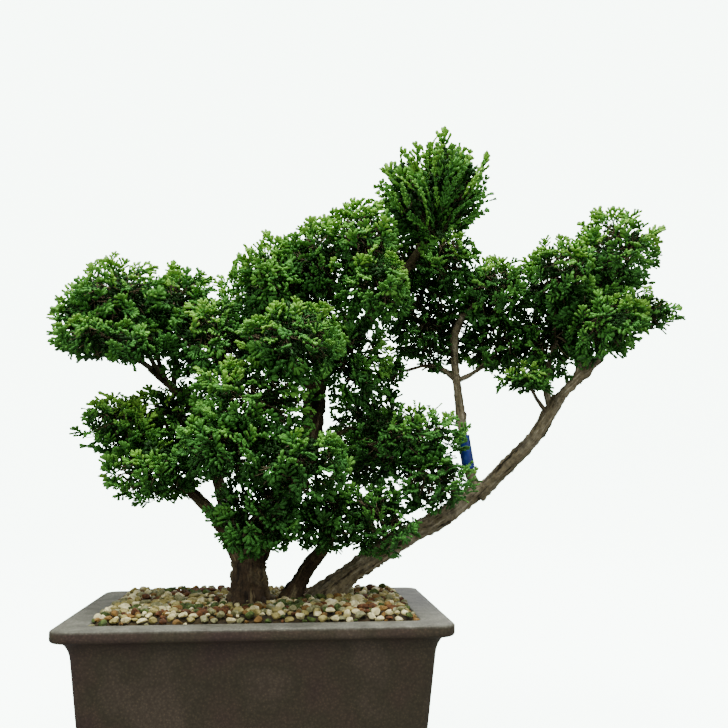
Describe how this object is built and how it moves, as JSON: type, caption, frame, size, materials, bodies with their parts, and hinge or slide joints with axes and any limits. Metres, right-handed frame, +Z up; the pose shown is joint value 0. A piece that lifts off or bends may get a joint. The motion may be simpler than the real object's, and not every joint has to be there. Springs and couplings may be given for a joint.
{
  "type": "potted hinoki cypress bonsai",
  "caption": "Small multi-stemmed hinoki cypress bonsai with layered fan foliage, growing in gravel in a dark unglazed rectangular stoneware pot.",
  "frame": {"origin": "middle of the pot's flat underside, on the surface that it stands on", "axes": "+Z up, +X along the pot's long side toward the long right-hand bough, -Y toward the viewer of the front"},
  "size_m": [0.334, 0.1356, 0.3241],
  "materials": {
    "stoneware": "unglazed, matt",
    "gravel": "loose gravel, dry",
    "bark": "fibrous bark",
    "foliage": "scale-leaved sprays",
    "blue_sleeve": "satin"
  },
  "bodies": {
    "root": {"bough_centre_left": "bark", "bough_left_high": "bark", "bough_left_low": "bark", "bough_low_front": "bark", "bough_low_right": "bark", "bough_right": "bark", "bough_right_high": "bark", "bough_right_inner": "bark", "bough_right_outer": "bark", "bough_upright": "bark", "bough_upright_left": "bark", "bough_upright_right": "bark", "foliage_apex_back": "foliage", "foliage_apex_left": "foliage", "foliage_apex_right": "foliage", "foliage_apex_top": "foliage", "foliage_centre_back": "foliage", "foliage_centre_front": "foliage", "foliage_centre_front_low": "foliage", "foliage_centre_left": "foliage", "foliage_centre_left_top": "foliage", "foliage_centre_top": "foliage", "foliage_hollow": "foliage", "foliage_hollow_sprig": "foliage", "foliage_inner_right_low": "foliage", "foliage_inner_right_top": "foliage", "foliage_left_high_back": "foliage", "foliage_left_high_crown": "foliage", "foliage_left_high_front": "foliage", "foliage_left_high_tip": "foliage", "foliage_left_high_top": "foliage", "foliage_left_low_bottom": "foliage", "foliage_left_low_inner": "foliage", "foliage_left_low_tip": "foliage", "foliage_low_back": "foliage", "foliage_low_front": "foliage", "foliage_low_front_bottom": "foliage", "foliage_low_front_left": "foliage", "foliage_low_mid": "foliage", "foliage_low_right": "foliage", "foliage_low_right_bottom": "foliage", "foliage_low_right_top": "foliage", "foliage_neck_right": "foliage", "foliage_right_back": "foliage", "foliage_right_mid": "foliage", "foliage_right_mid_left": "foliage", "foliage_right_sprig": "foliage", "foliage_right_tip": "foliage", "foliage_right_top": "foliage", "foliage_right_top_left": "foliage", "foliage_shoulder_back": "foliage", "foliage_shoulder_front": "foliage", "foliage_shoulder_left": "foliage", "foliage_trunk_front": "foliage", "pot": "stoneware", "sleeve_blue": "blue_sleeve", "soil": "gravel", "trunk_main": "bark", "trunk_middle": "bark", "trunk_right": "bark"}
  },
  "joints": []
}
